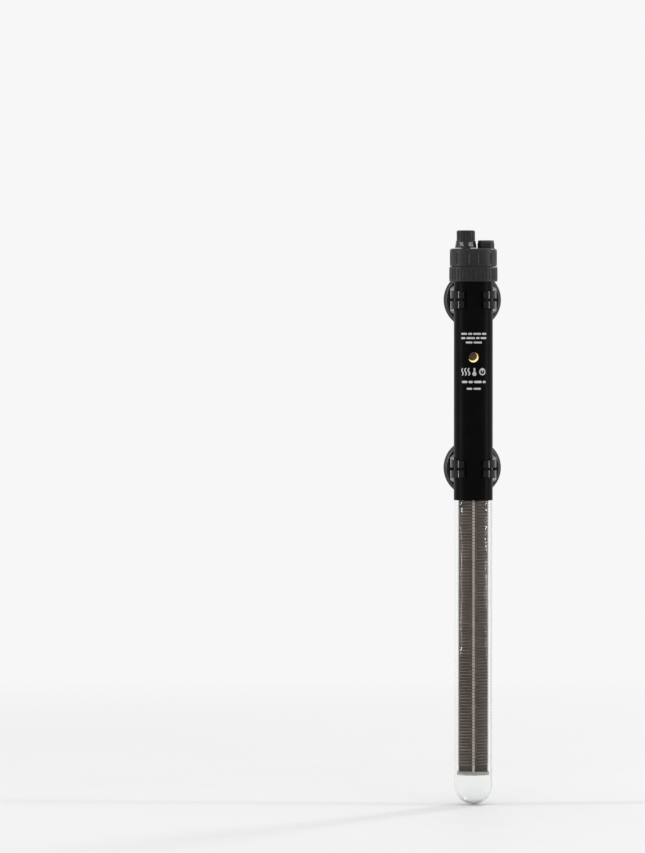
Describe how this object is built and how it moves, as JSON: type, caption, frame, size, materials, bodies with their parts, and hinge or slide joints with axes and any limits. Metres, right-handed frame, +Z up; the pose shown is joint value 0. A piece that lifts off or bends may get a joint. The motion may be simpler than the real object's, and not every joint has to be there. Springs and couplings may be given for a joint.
{
  "type": "submersible aquarium heater",
  "caption": "Upright submersible aquarium heater: glass tube with wound element, black sleeve, indicator lamp, dial head, and spring-clip brackets on suction cups.",
  "frame": {"origin": "centre of the lower suction cup's lip, on the tank wall", "axes": "+Z up along the tube, +Y out of the back into the tank wall, the front with the lamp faces -Y"},
  "size_m": [0.0384, 0.0447, 0.381],
  "materials": {
    "glass": "clear",
    "sleeve": "satin",
    "head": "satin",
    "knob": "satin",
    "clip": "glossy",
    "cup": "satin",
    "seal": "matte",
    "resin": "matte",
    "white_plastic": "matte",
    "steel": "satin",
    "part_body": "matte",
    "board": "satin",
    "solder": "bright",
    "lamp": "clear tinted",
    "film": "gloss",
    "can": "sleeved",
    "resistor": "matte",
    "bead": "matte",
    "mica": "matte",
    "former": "matte",
    "wire": "oxidised",
    "copper": "tinned",
    "sleeving": "woven glass"
  },
  "bodies": {
    "heater": {"glass_tube": "glass", "outer_sleeve": "sleeve", "head_cap": "head", "lock_collar": "head", "tube_seal_ring": "seal", "rim_gasket": "seal", "cord_grommet": "seal", "cord_potting": "resin", "upper_board_spacer": "white_plastic", "lower_board_spacer": "white_plastic", "former_stem": "steel", "lead_crimps": "steel", "pot_body": "part_body", "triac": "part_body", "control_chip": "part_body", "thermal_fuse": "part_body", "circuit_board": "board", "solder_joints": "solder", "pot_terminals": "solder", "led_legs": "solder", "triac_tab": "solder", "triac_legs": "solder", "film_capacitor_leads": "solder", "electrolytic_leads": "solder", "chip_pins": "solder", "resistor_leads": "solder", "sensor_leads": "solder", "fuse_leads": "solder", "indicator_led": "lamp", "film_capacitor": "film", "electrolytic_capacitor": "can", "resistors": "resistor", "temperature_sensor": "bead", "heat_barrier_disc": "mica", "lower_spider": "mica", "element_former": "former", "heating_wire": "wire", "element_leads": "copper", "lead_sleeves": "sleeving"},
    "dial": {"dial_knob": "knob", "dial_spindle": "white_plastic", "spindle_o_rings": "seal", "spindle_clip": "steel", "spindle_coupling": "white_plastic", "pot_rotor": "white_plastic"},
    "lower_bracket": {"lower_bracket": "clip"},
    "lower_cup": {"lower_suction_cup": "cup"},
    "upper_bracket": {"upper_bracket": "clip"},
    "upper_cup": {"upper_suction_cup": "cup"}
  },
  "joints": [
    {"name": "dial_turn", "type": "hinge", "parent": "heater", "child": "dial", "pos_m": [-0.005, -0.0287, 0.146], "axis": [0, 0, 1], "range_deg": [-135, 135]},
    {"name": "lower_bracket_slide", "type": "slide", "parent": "heater", "child": "lower_bracket", "axis": [0, 0, 1], "range_m": [-0.011, 0.045]},
    {"name": "upper_bracket_slide", "type": "slide", "parent": "heater", "child": "upper_bracket", "axis": [0, 0, 1], "range_m": [-0.025, 0.0018]},
    {"name": "lower_cup_swivel", "type": "hinge", "parent": "lower_bracket", "child": "lower_cup", "pos_m": [0, 0, 0], "axis": [0, 1, 0], "continuous": true},
    {"name": "upper_cup_swivel", "type": "hinge", "parent": "upper_bracket", "child": "upper_cup", "pos_m": [0, 0, 0.112], "axis": [0, 1, 0], "continuous": true}
  ]
}
